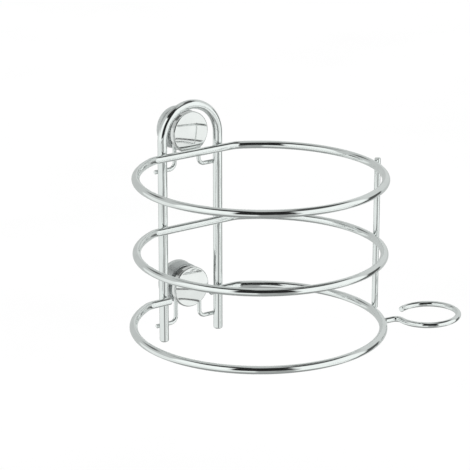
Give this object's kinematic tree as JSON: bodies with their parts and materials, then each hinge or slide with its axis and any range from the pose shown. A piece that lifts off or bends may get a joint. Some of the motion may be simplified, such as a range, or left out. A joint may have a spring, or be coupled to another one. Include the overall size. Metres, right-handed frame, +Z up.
{
  "type": "hair dryer holder",
  "caption": "Wall-mounted chrome wire hair dryer holder: D-shaped rings on an arched hanger, hung on screw-locked suction cups, with a side loop for the plug.",
  "frame": {"origin": "centre of the upper suction disc's wall face, in the plane of the wall", "axes": "+Y into the wall, +Z up, +X to the right along the wall; the holder stands in front of the wall, towards -Y"},
  "size_m": [0.1898, 0.166, 0.1524],
  "materials": {
    "chrome_wire": "bright chrome plate on steel wire",
    "chrome_cover": "bright chrome plate",
    "housing_plate": "satin chrome plate on a plastic moulding",
    "disc_pvc": "smooth soft grey vinyl",
    "stud_steel": "zinc plated",
    "washer_nylon": "natural nylon",
    "insert_brass": "turned brass",
    "core_abs": "dark moulded plastic"
  },
  "bodies": {
    "wall_cups": {"upper_suction_disc": "disc_pvc", "upper_housing": "housing_plate", "upper_slip_washer": "washer_nylon", "lower_suction_disc": "disc_pvc", "lower_housing": "housing_plate", "lower_slip_washer": "washer_nylon"},
    "wire_frame": {"hanger_arch": "chrome_wire", "top_ring": "chrome_wire", "middle_ring": "chrome_wire", "bottom_ring": "chrome_wire", "side_upright": "chrome_wire", "plug_loop": "chrome_wire", "upper_hook": "chrome_wire", "lower_hook": "chrome_wire"},
    "upper_knob": {"upper_thread_insert": "insert_brass", "upper_knob_core": "core_abs", "upper_knob_cover": "chrome_cover"},
    "upper_stud": {"upper_stud": "stud_steel"},
    "lower_knob": {"lower_thread_insert": "insert_brass", "lower_knob_core": "core_abs", "lower_knob_cover": "chrome_cover"},
    "lower_stud": {"lower_stud": "stud_steel"}
  },
  "joints": [
    {"name": "frame_lift", "type": "slide", "parent": "wall_cups", "child": "wire_frame", "axis": [0, 0, 1], "range_m": [0, 0.032]},
    {"name": "upper_knob_turn", "type": "hinge", "parent": "wall_cups", "child": "upper_knob", "pos_m": [0, 0, 0], "axis": [0, -1, 0], "range_deg": [0, 270]},
    {"name": "upper_stud_travel", "type": "slide", "parent": "wall_cups", "child": "upper_stud", "axis": [0, 1, 0], "range_m": [0, 0.0006], "deforming": ["upper_suction_disc"]},
    {"name": "lower_knob_turn", "type": "hinge", "parent": "wall_cups", "child": "lower_knob", "pos_m": [0, 0, -0.1], "axis": [0, -1, 0], "range_deg": [0, 270]},
    {"name": "lower_stud_travel", "type": "slide", "parent": "wall_cups", "child": "lower_stud", "axis": [0, 1, 0], "range_m": [0, 0.0006], "deforming": ["lower_suction_disc"]}
  ],
  "couplings": [
    {"joint": "upper_stud_travel", "follows": "upper_knob_turn", "m_per_rad": 0.00012732},
    {"joint": "lower_stud_travel", "follows": "lower_knob_turn", "m_per_rad": 0.00012732}
  ]
}
